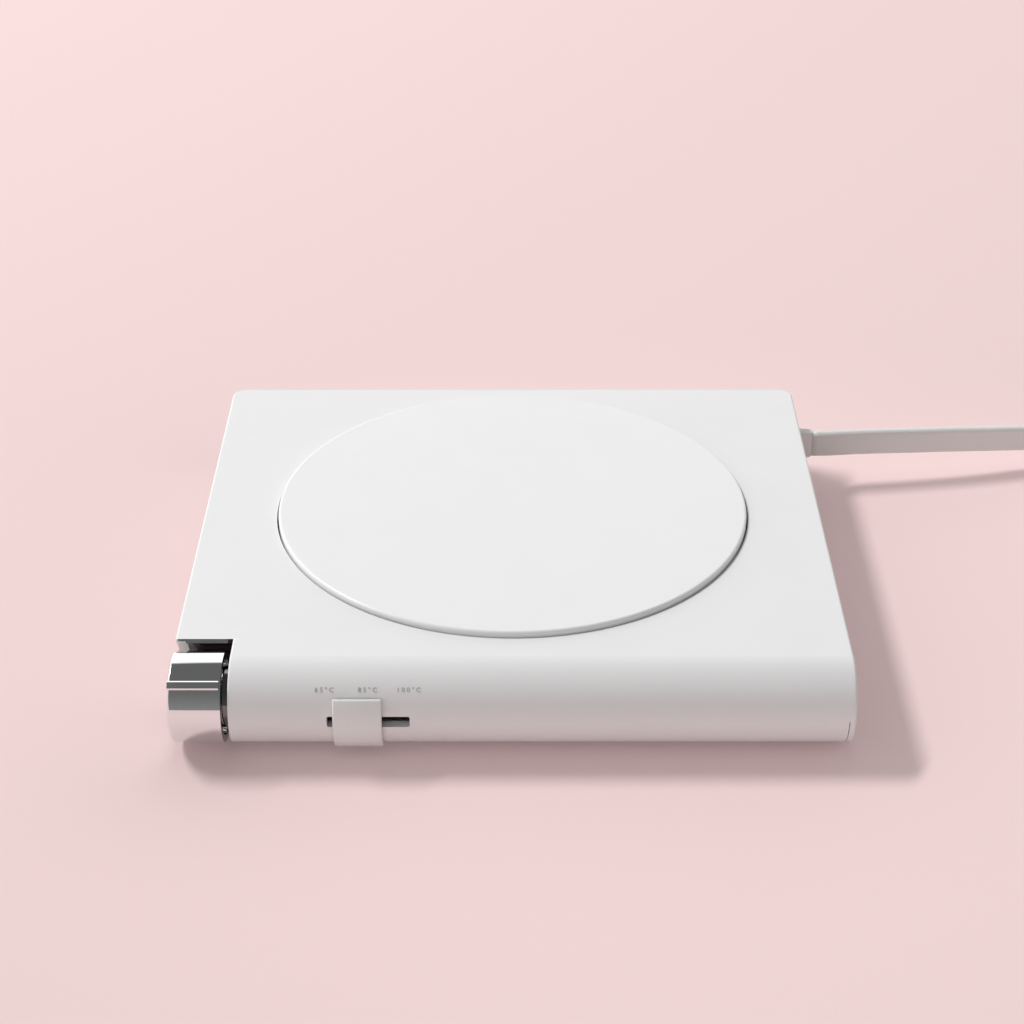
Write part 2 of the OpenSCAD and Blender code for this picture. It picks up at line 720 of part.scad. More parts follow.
module cord_clamp() color("ivory") {
    x0 = clamp_x[0];
    x1 = clamp_x[1];
    difference() {
        union() {
            box([x0, cord_y - 3.3, 5.2], [x1, cord_y + 3.3, cord_z + 5]);
            box([x0, cord_y - 7.6, 5.2], [x1, cord_y + 7.6, 6.8]);
        }
        box([x0 - 1, cord_y - 1.72, 5], [x1 + 1, cord_y + 1.72, cord_z + 3.72]);
        for (y = clamp_screw_y)
            translate([(x0 + x1) / 2, y, 0]) cylinder(h = 20, r = 1.4, $fn = 32);
    }
}

module clamp_screws() color("silver")
    for (y = clamp_screw_y)
        translate([(clamp_x[0] + clamp_x[1]) / 2, y, 6.8])
            rotate([180, 0, 0]) screw(1.9, 1.2, 1, 4);

module mains_leads() color("saddlebrown")
    for (k = [0, 1])
        lead([[relief_in_x, 50, 8.6 + 3.2 * k], [46.5, 50, 8.6 + 3.2 * k],
              [43.5, 49.2 - 1.5 * k, 9 + 2.4 * k], [40, 46.8 - 3.6 * k, 9.6 + 1.4 * k],
              [37, 43.6 - 4.6 * k, 10 + 0.4 * k], [34, 41.7 - 5.1 * k, 10.2],
              [31, 41.5 - 5 * k, 10.2], [27.2, 41.5 - 5 * k, 10.2]], 0.85);

module cord() color("white")
    skinned(flat_rings(route));

// Radius of the coil at u turns from the middle of its length, in pitches above the
// smallest. It dips in the half turn where the cord climbs to the upper layer.
function coil_swell(u) = abs(u) > 0.25 ? abs(u) : 0.25 - 0.3 * (1 + cos(720 * u));
function coil_lift(u) = abs(u) > 0.25 ? sign(u) : sin(360 * u);

function coil_point(u) =
    let (r = coil_in_r + coil_pitch * coil_swell(u), a = 90 - 360 * (u + coil_turns / 2))
    [coil_xy[0] + r * cos(a), coil_xy[1] + r * sin(a),
     (coil_low_z + coil_high_z) / 2 + coil_lift(u) * layer_step / 2];

coil_steps = coil_turns * loop_rings;
coil_start = coil_point(-coil_turns / 2);
coil_end = coil_point(coil_turns / 2);
coil_path = concat(
    [coil_start - [coil_lead, 0, 0], coil_start - [coil_lead / 2, 0, 0]],
    [for (k = [0:coil_steps]) coil_point(k / loop_rings - coil_turns / 2)],
    [coil_end - [0, plug_lead / 2, 0], coil_end - [0, plug_lead, 0]]);

// Smallest distance between points of rings that are more than a third of a turn apart
function least_gap(rings) =
    min([for (i = [0:len(rings) - 9], j = [i + 8:len(rings) - 1], p = rings[i], q = rings[j])
        norm(p - q)]);

module cord_coil() color("white") {
    rings = flat_rings(coil_path);
    echo(least_gap_mm = least_gap(rings));
    echo(coil_length_mm = path_length(coil_path), free_length_mm = path_length(route));
    skinned(rings);
}

function path_length(p, k = 1) = k >= len(p) ? 0 : norm(p[k] - p[k - 1]) + path_length(p, k + 1);

// Band round the bundle, with the overlap of its hook end
module cord_tie() color("gainsboro") {
    r0 = coil_in_r + coil_pitch / 2 - cord_t / 2 - 0.8;
    r1 = coil_out_r + cord_t / 2 + 0.1;
    z0 = coil_low_z - cord_w / 2 - 0.35;
    z1 = coil_high_z + cord_w / 2 + 0.35;
    translate([coil_xy[0], coil_xy[1], 0]) rotate([0, 0, tie_angle])
        difference() {
            union() {
                along_y(-4, 4)
                    polygon(rounded_box(r0 - 0.7, z0 - 0.7, r1 + 0.7, z1 + 0.7, [1, 1, 1, 1], 4));
                box([r0, -4, z1 + 0.5], [r1 - 1, 4, z1 + 1.4]);
            }
            along_y(-5, 5)
                polygon(rounded_box(r0, z0, r1, z1, [0.5, 0.5, 0.5, 0.5], 3));
        }
}

plug_len = 26;
plug_t = 15;
blade_gap = 12.7;

// Plug that stands on its narrow side: nose round the cord, waist for the fingers, front
module plug_body() color("white") {
    h = plug_xyz[2];
    translate([plug_xyz[0], plug_xyz[1], h]) {
        hull() {
            along_y(-14, -12) polygon(rounded_box(-5, -7.6, 5, 7.6, [3, 3, 3, 3], 6));
            along_y(-0.1, 0) polygon(rounded_box(-1.8, -3.9, 1.8, 3.9, [1, 1, 1, 1], 6));
        }
        hull() {
            along_y(-14, -12) polygon(rounded_box(-5, -7.6, 5, 7.6, [3, 3, 3, 3], 6));
            along_y(-22, -19)
                polygon(rounded_box(-plug_t / 2, -h, plug_t / 2, h, [3, 3, 3, 3], 6));
        }
        hull() {
            along_y(-14 - plug_len + 8, -19)
                polygon(rounded_box(-plug_t / 2, -h, plug_t / 2, h, [3, 3, 3, 3], 6));
            along_y(-14 - plug_len + 7, -19)
                polygon(rounded_box(1 - plug_t / 2, 1 - h, plug_t / 2 - 1, h - 1,
                                    [2.4, 2.4, 2.4, 2.4], 6));
        }
    }
}

module plug_blades() color("silver")
    translate([plug_xyz[0], plug_xyz[1] - 14 - plug_len + 7, plug_xyz[2]])
        for (z = [-blade_gap / 2, blade_gap / 2])
            translate([0, 0, z])
                difference() {
                    translate([0, 0, -0.75]) linear_extrude(1.5)
                        polygon([[-3.15, 0], [-3.15, -16], [-2.2, -17.5], [2.2, -17.5],
                                 [3.15, -16], [3.15, 0]]);
                    translate([0, -13.5, -2]) cylinder(h = 4, r = 1.5, $fn = 32);
                }

upper_shell();
base_cover();
warming_plate();
plate_gasket();
heater_element();
insulation_pad();
pressure_plate();
plate_screws();
thermistor();
thermal_fuse();
fuse_clip();
plate_leads();
control_board();
relay();
capacitor();
controller_chip();
terminal_block();
board_screws();
slide_switch();
rotary_switch();
switch_nut();
switch_leads();
knob_cradle();
power_knob();
knob_shaft();
slider_tab();
slider_carriage();
switch_lever();
feet();
base_screws();
strain_relief();
cord_clamp();
clamp_screws();
mains_leads();
cord();
cord_coil();
cord_tie();
plug_body();
plug_blades();
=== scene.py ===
import math

import bmesh
import bpy
import numpy as np
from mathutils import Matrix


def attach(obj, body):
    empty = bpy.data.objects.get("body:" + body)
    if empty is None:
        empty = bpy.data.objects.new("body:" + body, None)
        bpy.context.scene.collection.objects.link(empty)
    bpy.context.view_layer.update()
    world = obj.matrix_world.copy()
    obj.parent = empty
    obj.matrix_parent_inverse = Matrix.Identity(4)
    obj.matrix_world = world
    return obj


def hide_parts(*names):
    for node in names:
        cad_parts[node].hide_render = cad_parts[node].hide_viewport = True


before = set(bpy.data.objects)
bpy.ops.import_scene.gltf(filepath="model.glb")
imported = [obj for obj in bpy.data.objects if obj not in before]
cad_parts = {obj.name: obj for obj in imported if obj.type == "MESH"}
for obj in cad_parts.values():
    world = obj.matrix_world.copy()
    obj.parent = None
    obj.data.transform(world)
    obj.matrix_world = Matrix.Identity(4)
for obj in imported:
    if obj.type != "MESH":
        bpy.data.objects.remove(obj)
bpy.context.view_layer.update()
mm = 0.001


def linear(hexColour):
    # sRGB hex to linear light, the fourth number is opacity
    channels = [int(hexColour[k : k + 2], 16) / 255 for k in (1, 3, 5)]
    return [c / 12.92 if c <= 0.04045 else ((c + 0.055) / 1.055) ** 2.4 for c in channels] + [1.0]


def perMetre(sizeMm):
    # how many repeats of a pattern of that size fit in a metre, for Object coordinates
    return 1000 / sizeMm


def addNode(tree, kind, settings=None, **links):
    # a node with its settings: a name that is a socket sets its value, any other sets the node's
    # own option, and each link joins an output to the input of that name or number
    node = tree.nodes.new(kind)
    for name, value in (settings or {}).items():
        if isinstance(name, int) or name in node.inputs:
            node.inputs[name].default_value = value
        else:
            setattr(node, name, value)
    for name, output in links.items():
        name = int(name[1:]) if name[0] == "i" and name[1:].isdigit() else name.replace("_", " ")
        tree.links.new(output, node.inputs[name])
    return node


def gridFaces(rows, columns):
    # quads between neighbouring rows, with the last column joined to the first
    r, c = np.meshgrid(np.arange(rows - 1), np.arange(columns), indexing="ij")
    nextC = (c + 1) % columns
    quads = [r * columns + c, r * columns + nextC, (r + 1) * columns + nextC, (r + 1) * columns + c]
    return np.stack(quads, axis=-1).reshape(-1, 4)


def meshPiece(name, points, faces, material, body, smooth=True, uv=None):
    # points are in millimetres, faces are lists of corners
    mesh = bpy.data.meshes.new(name)
    mesh.from_pydata(np.asarray(points, float).reshape(-1, 3) * mm, [], faces)
    mesh.polygons.foreach_set("use_smooth", np.full(len(mesh.polygons), smooth))
    if uv is not None:
        corners = np.empty(len(mesh.loops), int)
        mesh.loops.foreach_get("vertex_index", corners)
        layer = mesh.uv_layers.new(name="UVMap")
        layer.data.foreach_set("uv", np.asarray(uv, float).reshape(-1, 2)[corners].ravel())
    piece = bpy.data.objects.new(name, mesh)
    bpy.context.scene.collection.objects.link(piece)
    mesh.materials.append(material)
    outward(mesh)
    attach(piece, body)
    return piece


def outward(mesh):
    # every face points away from the inside, whichever way its rings were drawn
    work = bmesh.new()
    work.from_mesh(mesh)
    bmesh.ops.recalc_face_normals(work, faces=work.faces)
    work.to_mesh(mesh)
    work.free()


def cappedTube(rings):
    # faces of a tube through rings of equal count, with one many-sided face at each end
    rows, columns = rings.shape[:2]
    faces = gridFaces(rows, columns).tolist()
    faces.append(list(range(columns))[::-1])
    faces.append(list(range((rows - 1) * columns, rows * columns)))
    return faces


def withMore(points, faces, morePoints, moreFaces):
    # two shells in one mesh: the second one's corners are counted on from the first one's
    points, morePoints = points.reshape(-1, 3), morePoints.reshape(-1, 3)
    moved = [[i + len(points) for i in face] for face in moreFaces]
    return np.vstack([points, morePoints]), faces + moved


def sharpBy(piece, degrees):
    # edges that turn by more than this stay crisp, the rest shade as one surface
    work = bmesh.new()
    work.from_mesh(piece.data)
    for edge in work.edges:
        edge.smooth = len(edge.link_faces) == 2 and edge.calc_face_angle(0) < math.radians(degrees)
    work.to_mesh(piece.data)
    work.free()


def superEllipse(count, halfX, halfY, power):
    # a closed outline with |x / halfX| to the power plus |y / halfY| to the power equal to one
    turn = np.linspace(0, 2 * np.pi, count, endpoint=False)
    c, s = np.cos(turn), np.sin(turn)
    return np.stack([halfX * np.sign(c) * np.abs(c) ** (2 / power),
                     halfY * np.sign(s) * np.abs(s) ** (2 / power)], axis=1)


def roundedOutline(halfX, halfY, radius, steps=6):
    # a rectangle whose corners are quarter circles
    quarter = np.linspace(0, np.pi / 2, steps)
    outline = []
    for k, (sx, sy) in enumerate([(1, 1), (-1, 1), (-1, -1), (1, -1)]):
        turn = quarter + k * np.pi / 2
        outline.append(np.stack([sx * (halfX - radius) + radius * np.cos(turn),
                                 sy * (halfY - radius) + radius * np.sin(turn)], axis=1))
    return np.concatenate(outline)


def filletedProfile(points, radii, steps=5):
    # a closed polyline whose corners are cut by short parabolas that start and end one radius away
    p = np.asarray(points, float)
    out = []
    for k, corner in enumerate(p):
        if radii[k] == 0:
            out.append(corner[None])
            continue
        before, after = p[(k - 1) % len(p)], p[(k + 1) % len(p)]
        start = corner + (before - corner) / np.linalg.norm(before - corner) * radii[k]
        end = corner + (after - corner) / np.linalg.norm(after - corner) * radii[k]
        t = np.linspace(0, 1, steps)[:, None]
        out.append((1 - t) ** 2 * start + 2 * t * (1 - t) * corner + t**2 * end)
    return np.vstack(out)


def runAlong(line):
    # the distance from the start at each point of a line
    return np.concatenate([[0], np.cumsum(np.linalg.norm(np.diff(line, axis=0), axis=1))])


def throughPoints(points, stepMm):
    # Catmull-Rom curve: between two points, a cubic whose slopes point along their neighbours
    p = np.asarray(points, float)
    p = np.vstack([2 * p[0] - p[1], p, 2 * p[-1] - p[-2]])
    out = []
    for a, b, c, d in zip(p[:-3], p[1:-2], p[2:-1], p[3:]):
        count = max(2, round(np.linalg.norm(c - b) / stepMm))
        t = np.linspace(0, 1, count, endpoint=False)[:, None]
        out.append(0.5 * (2 * b + (c - a) * t + (2 * a - 5 * b + 4 * c - d) * t**2
                          + (3 * b - a - 3 * c + d) * t**3))
    return np.vstack([*out, p[-2:-1]])


# the camera, fitted to the plate's rim and the body's edges

camera = {"place": (-0.000113, -0.396802, 0.255341), "pitch": 30.5555, "lens": 76.85, "sensor": 36,
          "clip": (0.01, 20)}
cameraData = bpy.data.cameras.new("camera")
cameraData.lens, cameraData.sensor_width = camera["lens"], camera["sensor"]
cameraData.clip_start, cameraData.clip_end = camera["clip"]
cameraObject = bpy.data.objects.new("camera", cameraData)
cameraObject.location = camera["place"]
cameraObject.rotation_euler = (math.radians(90 - camera["pitch"]), 0, 0)
bpy.context.scene.collection.objects.link(cameraObject)
bpy.context.scene.camera = cameraObject
print("camera ready")


def newMaterial(name):
    material = bpy.data.materials.new(name)
    material.use_nodes = True
    tree = material.node_tree
    tree.nodes.clear()
    output = addNode(tree, "ShaderNodeOutputMaterial")
    shader = addNode(tree, "ShaderNodeBsdfPrincipled")
    tree.links.new(shader.outputs["BSDF"], output.inputs["Surface"])
    return material, tree, shader


def grainedMaterial(name, colours, roughness, grainMm, grainDepthMm, cloudMm=12.0, stretch=(1, 1, 1),
                    metallic=0.0, ior=1.5, coat=0.0, coatRoughness=0.15):
    # two close colours drift into each other over cloudMm, roughness drifts with them, and a
    # fine grain of grainMm stands grainDepthMm high; stretch draws both finer along an axis
    material, tree, shader = newMaterial(name)
    shader.inputs["Metallic"].default_value = metallic
    shader.inputs["IOR"].default_value = ior
    shader.inputs["Coat Weight"].default_value = coat
    shader.inputs["Coat Roughness"].default_value = coatRoughness
    place = addNode(tree, "ShaderNodeTexCoord")
    turned = addNode(tree, "ShaderNodeMapping", {"Scale": stretch}, Vector=place.outputs["Object"])
    clouds = addNode(tree, "ShaderNodeTexNoise", {"Scale": perMetre(cloudMm), "Detail": 3.0},
                     Vector=turned.outputs[0])
    blend = addNode(tree, "ShaderNodeMix",
                    {"data_type": "RGBA", 6: linear(colours[0]), 7: linear(colours[1])},
                    i0=clouds.outputs[0])
    tree.links.new(blend.outputs[2], shader.inputs["Base Color"])
    rough = addNode(tree, "ShaderNodeMapRange", {3: roughness[0], 4: roughness[1]},
                    i0=clouds.outputs[0])
    tree.links.new(rough.outputs[0], shader.inputs["Roughness"])
    grain = addNode(tree, "ShaderNodeTexNoise", {"Scale": perMetre(grainMm), "Detail": 2.0},
                    Vector=turned.outputs[0])
    bump = addNode(tree, "ShaderNodeBump", {"Strength": 1.0, "Distance": grainDepthMm * mm},
                   Height=grain.outputs[0])
    tree.links.new(bump.outputs[0], shader.inputs["Normal"])
    return material


# Injection moulded ABS with a fine spark-eroded texture: soft, even, slightly satin white
# (real grain is about 0.1 mm, drawn at 0.5 mm so that it shows)
absFinish = {"colours": ("#EBEBEB", "#E8E8E8"), "roughness": (0.42, 0.5), "grainMm": 0.5,
             "grainDepthMm": 0.0016}
whiteAbs = grainedMaterial("mouldedAbs", **absFinish)
shellAbs = grainedMaterial("mouldedAbsPlatedLipPaintedHighlight", **absFinish)
# the cut edge of the top skin over the knob's recess: a strip this far from its middle each way
platedLip = {"middle": (-0.0595, -0.0451, 0.0187), "half": (0.0065, 0.00004, 0.00052),
             "colour": "#F2F3F3", "roughness": 0.06}
# painted highlight: the trimmed edge of the bullnose beside the knob is coloured white, paler than its
# grained skin, as if its rounded edge caught the lamp
paintedHighlightEdge = {"middle": (-0.05388, -0.0532, 0.0178), "half": (0.0002, 0.0081, 0.0018),
            "colour": "#FFFFFF"}


def stripMask(tree, strip):
    # 1 where every coordinate is within the strip's half size of its middle, and 0 elsewhere
    place = addNode(tree, "ShaderNodeTexCoord")
    away = addNode(tree, "ShaderNodeVectorMath", {"operation": "SUBTRACT", 1: strip["middle"]},
                   i0=place.outputs["Object"])
    size = addNode(tree, "ShaderNodeVectorMath", {"operation": "ABSOLUTE"}, i0=away.outputs[0])
    axes = addNode(tree, "ShaderNodeSeparateXYZ", i0=size.outputs[0])
    inside = [addNode(tree, "ShaderNodeMath", {"operation": "LESS_THAN", 1: strip["half"][k]},
                      i0=axes.outputs[k]) for k in range(3)]
    two = addNode(tree, "ShaderNodeMath", {"operation": "MULTIPLY"}, i0=inside[0].outputs[0],
                  i1=inside[1].outputs[0])
    return addNode(tree, "ShaderNodeMath", {"operation": "MULTIPLY"}, i0=two.outputs[0],
                   i1=inside[2].outputs[0]).outputs[0]


def recolour(material, mask, colour):
    # the masked places take this colour in place of the material's own
    tree = material.node_tree
    base = tree.nodes["Principled BSDF"].inputs["Base Color"]
    mixed = addNode(tree, "ShaderNodeMix", {"data_type": "RGBA", 7: linear(colour)}, i0=mask,
                    i6=base.links[0].from_socket)
    tree.links.new(mixed.outputs[2], base)


def finishShell(material, lip, edge):
    # bright chrome on the lip, a painted highlight in white on the edge, the moulded plastic elsewhere
    tree = material.node_tree
    shader = tree.nodes["Principled BSDF"]
    # the edge strip takes its painted highlight colour
    recolour(material, stripMask(tree, edge), edge["colour"])
    mask = stripMask(tree, lip)
    recolour(material, mask, lip["colour"])
    rough = addNode(tree, "ShaderNodeMix", {3: lip["roughness"]}, i0=mask,
                    i2=shader.inputs["Roughness"].links[0].from_socket)
    tree.links.new(rough.outputs[0], shader.inputs["Roughness"])
    tree.links.new(mask, shader.inputs["Metallic"])


finishShell(shellAbs, platedLip, paintedHighlightEdge)
# Heat-proof enamel baked on cast aluminium: closer and smoother than the ABS
enamel = grainedMaterial("bakedEnamel", ("#ECECEC", "#E9E9E9"), (0.34, 0.42), 0.8, 0.0012, coat=0.1)
# Bright nickel-chrome plate on ABS: mirror-like, with a faint ripple from the moulding below
brightChrome = grainedMaterial("brightChromePlateHubPaintedShade", ("#F2F3F3", "#EDEEEF"), (0.03, 0.06), 6, 0.0012,
                               metallic=1)
# painted shade: past this place along X, the knob's inner end and hub are coloured dark, standing in
# for the shade in the gap beside the wall
paintedShadeHub = {"from": -0.05536, "colour": "#767676"}


def paintShadeOnHub(material, shadedHub):
    # painted shade on the hub: the colour changes by Object X alone, which turning about X leaves as it
    # is
    tree = material.node_tree
    place = addNode(tree, "ShaderNodeTexCoord")
    axes = addNode(tree, "ShaderNodeSeparateXYZ", i0=place.outputs["Object"])
    past = addNode(tree, "ShaderNodeMath", {"operation": "GREATER_THAN", 1: shadedHub["from"]},
                   i0=axes.outputs[0])
    recolour(material, past.outputs[0], shadedHub["colour"])


paintShadeOnHub(brightChrome, paintedShadeHub)
# Smoked chrome plate: the same mirror, much darker and a little duller
smokedChrome = grainedMaterial("smokedChromePlate", ("#6E6E6E", "#626262"), (0.08, 0.14), 4, 0.0012,
                               metallic=1)
# Moulded silicone, matt and slightly dusty
greySilicone = grainedMaterial("mouldedSilicone", ("#7A7A7A", "#6C6C6C"), (0.6, 0.72), 0.4, 0.004,
                               ior=1.41)
paleSilicone = grainedMaterial("footSilicone", ("#D2D0CD", "#C6C4C1"), (0.6, 0.72), 0.4, 0.004,
                               ior=1.41)
# Zinc-plated pressed steel, with the faint streaks of the rolling
rolledSteel = grainedMaterial("zincPlatedSteel", ("#C9CBCE", "#B4B7BB"), (0.28, 0.42), 0.3, 0.002,
                              cloudMm=3, stretch=(1, 6, 1), metallic=1)
# Turned brass, warm and slightly dulled
turnedBrass = grainedMaterial("turnedBrass", ("#D9B36A", "#C79C52"), (0.25, 0.38), 0.25, 0.002,
                              cloudMm=4, stretch=(4, 1, 1), metallic=1)
# Nickel-plated blades: whiter and smoother than bare brass
platedBlade = grainedMaterial("nickelPlatedBrass", ("#D8D4C8", "#CBC6B8"), (0.18, 0.28), 0.25, 0.0015,
                              cloudMm=4, stretch=(1, 5, 1), metallic=1)
# Etched copper-nickel foil pressed on mica
etchedFoil = grainedMaterial("etchedFoil", ("#C99A6B", "#A97A4E"), (0.35, 0.5), 0.5, 0.004, cloudMm=5,
                             metallic=1)
# Ceramic fibre felt: cream, rough and cloudy
fibreFelt = grainedMaterial("ceramicFelt", ("#EFE8D6", "#D9D0B8"), (0.85, 0.95), 0.6, 0.05, cloudMm=3)
# Solder resist over woven glass epoxy
solderResist = grainedMaterial("solderResist", ("#1E6B43", "#17553A"), (0.25, 0.35), 0.9, 0.006,
                               cloudMm=8)
# Filled epoxy and phenolic mouldings of the components
blackResin = grainedMaterial("blackResin", ("#26262A", "#1B1B1E"), (0.4, 0.55), 0.3, 0.004)
blueCase = grainedMaterial("blueCase", ("#2F6EB5", "#265C9C"), (0.25, 0.35), 0.5, 0.003)
greenCase = grainedMaterial("greenCase", ("#3E9A6C", "#34865D"), (0.3, 0.4), 0.5, 0.003)
# Sleeved wires
whiteSleeve = grainedMaterial("siliconeSleeve", ("#E8E6E0", "#D8D6D0"), (0.55, 0.65), 0.4, 0.01)
redWire = grainedMaterial("redPvcWire", ("#B3261E", "#971E18"), (0.35, 0.45), 0.5, 0.004)
brownWire = grainedMaterial("brownPvcWire", ("#6B4129", "#573320"), (0.35, 0.45), 0.5, 0.004)
# Extruded PVC jacket: smooth satin, with the faint unevenness that the die leaves
extrudedPvc = grainedMaterial("extrudedPvc", ("#E6E4E2", "#DEDCDA"), (0.38, 0.46), 1.0, 0.004,
                              cloudMm=20)
# The same PVC moulded over the plug and the strain relief
overmouldedPvc = grainedMaterial("overmouldedPvc", ("#E8E6E4", "#E0DEDC"), (0.42, 0.5), 0.6, 0.004)
# Pad-printed grey ink, thin and matt
printInk = grainedMaterial("padPrintInk", ("#B4B1B1", "#ABA8A8"), (0.6, 0.7), 0.3, 0.001)


# Hook-and-loop tape: a close weave of threads 0.6 mm apart with a soft nap over it. Its UV map
# counts in tie["uvMm"], and a wave of scale 1 repeats about 3.2 times in each
weave = {"scale": 5.2, "wander": 0.6, "low": "#C4C4C2", "high": "#E8E8E6", "heightMm": 0.12,
         "roughness": 0.85, "nap": 0.3}


def wovenTape(w):
    # the crossings are the product of a wave along the tape and a wave across it
    material, tree, shader = newMaterial("wovenHookTape")
    shader.inputs["Roughness"].default_value = w["roughness"]
    shader.inputs["Sheen Weight"].default_value = w["nap"]
    place = addNode(tree, "ShaderNodeTexCoord")
    warp, weft = [addNode(tree, "ShaderNodeTexWave",
                          {"Scale": w["scale"], "bands_direction": way, "Distortion": w["wander"]},
                          Vector=place.outputs["UV"]) for way in "XY"]
    crossing = addNode(tree, "ShaderNodeMath", {"operation": "MULTIPLY"}, i0=warp.outputs[1],
                       i1=weft.outputs[1])
    colour = addNode(tree, "ShaderNodeMix",
                     {"data_type": "RGBA", 6: linear(w["low"]), 7: linear(w["high"])},
                     i0=crossing.outputs[0])
    tree.links.new(colour.outputs[2], shader.inputs["Base Color"])
    bump = addNode(tree, "ShaderNodeBump", {"Strength": 1.0, "Distance": w["heightMm"] * mm},
                   Height=crossing.outputs[0])
    tree.links.new(bump.outputs[0], shader.inputs["Normal"])
    return material


hookTape = wovenTape(weave)

nodeMaterials = {
    "upper_shell": shellAbs, "base_cover": whiteAbs, "slider_tab": whiteAbs, "cord_clamp": whiteAbs,
    "warming_plate": enamel, "plate_gasket": greySilicone, "heater_element": etchedFoil,
    "insulation_pad": fibreFelt, "pressure_plate": rolledSteel, "plate_screws": rolledSteel,
    "thermistor": turnedBrass, "thermal_fuse": rolledSteel, "fuse_clip": rolledSteel,
    "plate_leads": whiteSleeve, "control_board": solderResist, "relay": blueCase,
    "capacitor": blueCase, "controller_chip": blackResin, "terminal_block": greenCase,
    "board_screws": rolledSteel, "slide_switch": rolledSteel, "rotary_switch": blackResin,
    "switch_nut": turnedBrass, "switch_leads": redWire, "knob_cradle": smokedChrome,
    "power_knob": brightChrome, "knob_shaft": rolledSteel, "slider_carriage": blackResin,
    "switch_lever": blackResin, "feet": paleSilicone, "base_screws": rolledSteel,
    "strain_relief": overmouldedPvc, "clamp_screws": rolledSteel, "mains_leads": brownWire,
    "plug_body": overmouldedPvc, "plug_blades": platedBlade, "cord": extrudedPvc,
    "cord_coil": extrudedPvc, "cord_tie": hookTape,
}
for nodeName, material in nodeMaterials.items():
    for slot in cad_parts[nodeName].material_slots:
        slot.material = material
print("materials on the CAD nodes")


# the mains cord: the free stretch, the coil and the lead to the plug, all one tube

cord = {
    "width": 6.2, "thickness": 2.3, "edgeRadius": 0.95, "step": 1.6,
    "route": [[69.5, 50, 10.2], [73, 50, 10.2], [77, 50.4, 10.2], [82, 51, 10.1], [88, 51.7, 9.9],
              [94, 52.5, 9.6], [100, 53.4, 9.3], [106, 54.4, 8.9], [112, 55.5, 8.4], [118, 56.7, 7.9],
              [124, 57.9, 7.3], [130, 59.1, 6.7], [136, 60.1, 6], [142, 60.9, 5.3], [148, 61.5, 4.7],
              [154, 61.9, 4.4], [159, 62, 4.3], [163, 62, 4.3]],
    "coilMiddle": (170, 25.5), "coilRadius": 28.625, "pitch": 3, "turns": 5.25, "low": 4.3,
    "layerStep": 7, "halfClimb": 0.25, "climbDip": 0.3, "ringsPerTurn": 120,
    "plugLead": 14, "leadStart": 1.4, "leadRings": 10, "wrapMm": 16,
}


def coilPath(c):
    # u runs in turns from the middle of the length: the radius grows by one pitch a turn away from
    # the middle, and dips as a cosine where the cord climbs as a sine from the lower layer to the
    # upper one, over halfClimb of a turn on each side
    u = np.linspace(-c["turns"] / 2, c["turns"] / 2, round(c["turns"] * c["ringsPerTurn"]) + 1)
    outside = np.abs(u) > c["halfClimb"]
    climb = np.pi * u / c["halfClimb"]
    swell = np.where(outside, np.abs(u), c["halfClimb"] - c["climbDip"] * (1 + np.cos(climb)))
    lift = np.where(outside, np.sign(u), np.sin(climb / 2))
    angle = np.pi / 2 - 2 * np.pi * (u + c["turns"] / 2)
    radius = c["coilRadius"] + c["pitch"] * swell
    return np.stack([c["coilMiddle"][0] + radius * np.cos(angle),
                     c["coilMiddle"][1] + radius * np.sin(angle),
                     c["low"] + c["layerStep"] * (1 + lift) / 2], axis=1)


def flatTube(path, outline):
    # rings of a flat cord on edge: the outline's x lies across the heading, its y stands up
    heading = np.gradient(path, axis=0)
    heading[:, 2] = 0
    heading /= np.linalg.norm(heading, axis=1, keepdims=True)
    across = np.stack([heading[:, 1], -heading[:, 0], np.zeros(len(path))], axis=1)
    up = np.array([0, 0, 1.0])
    return path[:, None] + outline[None, :, :1] * across[:, None] + outline[None, :, 1:] * up


coil = coilPath(cord)
freePath = throughPoints(cord["route"] + [coil[0].tolist()], cord["step"])[:-1]
leadOut = coil[-1] - np.array([[0, k, 0] for k in
                               np.linspace(cord["leadStart"], cord["plugLead"], cord["leadRings"])])
cordPath = np.vstack([freePath, coil, leadOut])
alongCord = runAlong(cordPath)
cordRings = flatTube(cordPath, roundedOutline(cord["thickness"] / 2, cord["width"] / 2,
                                              cord["edgeRadius"]))
# its UV map is metres along the cord and round it
roundCord = np.linspace(0, cord["wrapMm"] * mm, cordRings.shape[1])
cordUv = np.stack(np.broadcast_arrays(alongCord[:, None] * mm, roundCord[None, :]), axis=2)
mainsCord = meshPiece("mainsCord", cordRings, cappedTube(cordRings), extrudedPvc, "base",
                      uv=cordUv)
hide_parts("cord", "cord_coil")


# plug, strain relief and tie

plug = {
    "nose": (206.5, 11.5, 11.3),
    # distance forward of the nose, half of the thickness, half of the height, squareness
    "stations": [(0, 1.6, 3.6, 3), (0.3, 1.9, 4.0, 3), (2.4, 2.4, 4.6, 3), (2.7, 2.0, 4.1, 3),
                 (3.9, 2.1, 4.3, 3), (4.2, 2.9, 5.2, 3), (6.3, 3.3, 5.7, 3), (6.6, 2.7, 5.0, 3),
                 (7.8, 2.9, 5.3, 3), (8.1, 3.9, 6.4, 3.2), (10.6, 4.4, 7.0, 3.4), (13, 4.95, 7.6, 4),
                 (15, 5.3, 8.3, 4.4), (17, 6.2, 9.9, 5), (19, 7.0, 11.0, 5), (21, 7.4, 11.25, 5.5),
                 (24, 7.5, 11.3, 6), (28, 7.5, 11.3, 6), (31.4, 7.45, 11.25, 6), (32.4, 7.2, 11, 6),
                 (32.85, 6.8, 10.6, 6), (33, 6.3, 10.1, 6)],
    "around": 96, "crisp": 40,
}
noseX, noseY, noseZ = plug["nose"]
plugRings = []
